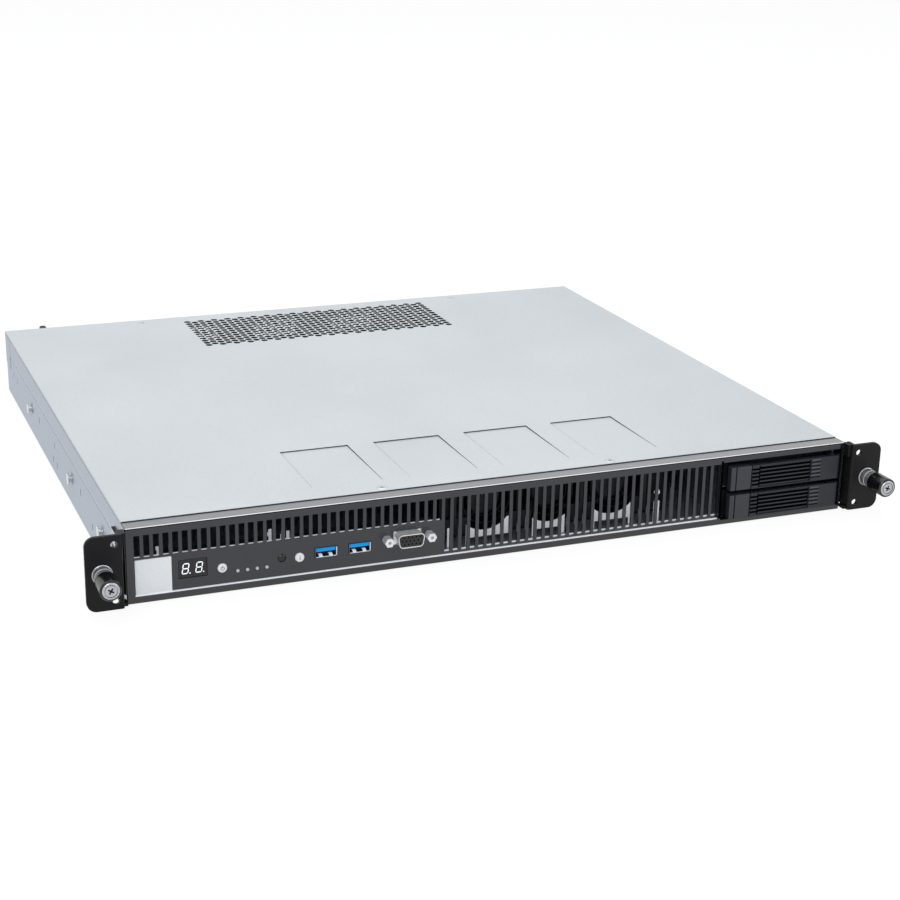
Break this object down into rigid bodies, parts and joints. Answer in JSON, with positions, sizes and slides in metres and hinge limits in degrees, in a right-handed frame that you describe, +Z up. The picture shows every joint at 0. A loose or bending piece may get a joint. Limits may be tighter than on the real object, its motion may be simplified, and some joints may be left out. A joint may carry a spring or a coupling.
{
  "type": "1u rack server",
  "caption": "Low rack-mount server case with slotted front, control panel, drive trays with swinging levers, captive thumbscrews in the ears, fans and a slide-out power supply.",
  "frame": {"origin": "centre of the case's underside, half way between the front frame's face and the rear", "axes": "+X to the right seen from the front, along the case's width; +Y from the front to the back; +Z up"},
  "size_m": [0.4826, 0.4558, 0.0436],
  "materials": {
    "cover_steel": "electro-galvanised steel sheet, pale, fine grained",
    "case_steel": "electro-galvanised steel sheet, satin",
    "frame_paint": "dark grey powder coat, matt",
    "ear_paint": "black powder coat, fine grained",
    "zinc_steel": "zinc plated steel sheet",
    "nickel_steel": "nickel plated steel",
    "white_plastic": "white moulded plastic",
    "black_plastic": "black moulded plastic, glossy",
    "dark_plastic": "black moulded plastic, matt",
    "blue_grey_plastic": "dark blue-grey moulded plastic",
    "blue_plastic": "bright blue moulded plastic",
    "clear_plastic": "clear moulded plastic",
    "display_window": "smoked clear plastic",
    "circuit_board": "green solder mask on glass-filled board",
    "memory_board": "green solder mask with black chips",
    "aluminium": "bare aluminium",
    "rubber": "black soft rubber"
  },
  "bodies": {
    "chassis": {"badge_plate": "white_plastic", "chassis_base": "case_steel", "code_display": "display_window", "control_board": "circuit_board", "control_bracket": "zinc_steel", "cover_screws": "nickel_steel", "cpu_cooler": "aluminium", "drive_backplane": "circuit_board", "drive_cage": "zinc_steel", "ear_left": "ear_paint", "ear_right": "ear_paint", "ear_screws": "nickel_steel", "fan_frame_1": "dark_plastic", "fan_frame_2": "dark_plastic", "fan_frame_3": "dark_plastic", "fan_mounts": "rubber", "fan_wall": "zinc_steel", "front_frame": "frame_paint", "front_grille": "frame_paint", "lan_ports": "nickel_steel", "light_pipes": "clear_plastic", "memory_modules": "memory_board", "motherboard": "circuit_board", "psu_bay_wall": "zinc_steel", "rail_studs": "nickel_steel", "rear_panel": "case_steel", "slot_cover": "zinc_steel", "thumbscrew_sleeves": "nickel_steel", "top_cover": "cover_steel", "usb_shells": "nickel_steel", "usb_tongues": "blue_plastic", "vga_insert": "dark_plastic", "vga_jackscrews": "nickel_steel", "vga_shell": "nickel_steel"},
    "thumb_slider_left": {"retainer_left": "nickel_steel"},
    "thumb_slider_right": {"retainer_right": "nickel_steel"},
    "thumb_left": {"thumbscrew_left": "nickel_steel", "knob_left": "black_plastic"},
    "thumb_right": {"thumbscrew_right": "nickel_steel", "knob_right": "black_plastic"},
    "power_button": {"power_button": "white_plastic"},
    "locate_button": {"locate_button": "white_plastic"},
    "reset_button": {"reset_button": "black_plastic"},
    "tray_lower": {"tray_lower": "blue_grey_plastic", "lever_pin_lower": "nickel_steel", "drive_lower": "aluminium"},
    "tray_upper": {"tray_upper": "blue_grey_plastic", "lever_pin_upper": "nickel_steel", "drive_upper": "aluminium"},
    "lever_lower": {"lever_lower": "blue_grey_plastic"},
    "lever_upper": {"lever_upper": "blue_grey_plastic"},
    "catch_lower": {"catch_lower": "blue_grey_plastic"},
    "catch_upper": {"catch_upper": "blue_grey_plastic"},
    "fan_rotor_1": {"fan_rotor_1": "dark_plastic"},
    "fan_rotor_2": {"fan_rotor_2": "dark_plastic"},
    "fan_rotor_3": {"fan_rotor_3": "dark_plastic"},
    "power_supply": {"psu_case": "zinc_steel", "ac_inlet": "dark_plastic", "psu_handle": "ear_paint"},
    "supply_latch": {"psu_latch": "blue_grey_plastic"}
  },
  "joints": [
    {"name": "thumbscrew_left_push", "type": "slide", "parent": "chassis", "child": "thumb_slider_left", "axis": [0, 1, 0], "range_m": [0, 0.006], "stiffness_N_per_m": 120, "springref_m": -0.004},
    {"name": "thumbscrew_left_turn", "type": "hinge", "parent": "thumb_slider_left", "child": "thumb_left", "pos_m": [-0.23255, -0.2063, 0.0218], "axis": [0, 1, 0], "continuous": true},
    {"name": "thumbscrew_right_push", "type": "slide", "parent": "chassis", "child": "thumb_slider_right", "axis": [0, 1, 0], "range_m": [0, 0.006], "stiffness_N_per_m": 120, "springref_m": -0.004},
    {"name": "thumbscrew_right_turn", "type": "hinge", "parent": "thumb_slider_right", "child": "thumb_right", "pos_m": [0.23255, -0.2063, 0.0218], "axis": [0, 1, 0], "continuous": true},
    {"name": "power_press", "type": "slide", "parent": "chassis", "child": "power_button", "axis": [0, 1, 0], "range_m": [0, 0.001], "stiffness_N_per_m": 800, "springref_m": -0.0005},
    {"name": "locate_press", "type": "slide", "parent": "chassis", "child": "locate_button", "axis": [0, 1, 0], "range_m": [0, 0.001], "stiffness_N_per_m": 800, "springref_m": -0.0005},
    {"name": "reset_press", "type": "slide", "parent": "chassis", "child": "reset_button", "axis": [0, 1, 0], "range_m": [0, 0.001], "stiffness_N_per_m": 800, "springref_m": -0.0005},
    {"name": "tray_lower_draw", "type": "slide", "parent": "chassis", "child": "tray_lower", "axis": [0, -1, 0], "range_m": [0, 0.1]},
    {"name": "lever_lower_swing", "type": "hinge", "parent": "tray_lower", "child": "lever_lower", "pos_m": [0.2125, -0.197, 0.0107], "axis": [0, 0, 1], "range_deg": [0, 50]},
    {"name": "catch_lower_press", "type": "slide", "parent": "tray_lower", "child": "catch_lower", "axis": [-1, 0, 0], "range_m": [0, 0.0022], "stiffness_N_per_m": 400, "springref_m": -0.001},
    {"name": "tray_upper_draw", "type": "slide", "parent": "chassis", "child": "tray_upper", "axis": [0, -1, 0], "range_m": [0, 0.1]},
    {"name": "lever_upper_swing", "type": "hinge", "parent": "tray_upper", "child": "lever_upper", "pos_m": [0.2125, -0.197, 0.0282], "axis": [0, 0, 1], "range_deg": [0, 50]},
    {"name": "catch_upper_press", "type": "slide", "parent": "tray_upper", "child": "catch_upper", "axis": [-1, 0, 0], "range_m": [0, 0.0022], "stiffness_N_per_m": 400, "springref_m": -0.001},
    {"name": "fan_1_spin", "type": "hinge", "parent": "chassis", "child": "fan_rotor_1", "pos_m": [-0.0024, -0.168, 0.0224], "axis": [0, 1, 0], "continuous": true},
    {"name": "fan_2_spin", "type": "hinge", "parent": "chassis", "child": "fan_rotor_2", "pos_m": [0.0384, -0.168, 0.0224], "axis": [0, 1, 0], "continuous": true},
    {"name": "fan_3_spin", "type": "hinge", "parent": "chassis", "child": "fan_rotor_3", "pos_m": [0.0792, -0.168, 0.0224], "axis": [0, 1, 0], "continuous": true},
    {"name": "supply_draw", "type": "slide", "parent": "chassis", "child": "power_supply", "axis": [0, 1, 0], "range_m": [0, 0.15]},
    {"name": "supply_latch_press", "type": "slide", "parent": "power_supply", "child": "supply_latch", "axis": [1, 0, 0], "range_m": [0, 0.0025], "stiffness_N_per_m": 400, "springref_m": -0.001}
  ]
}
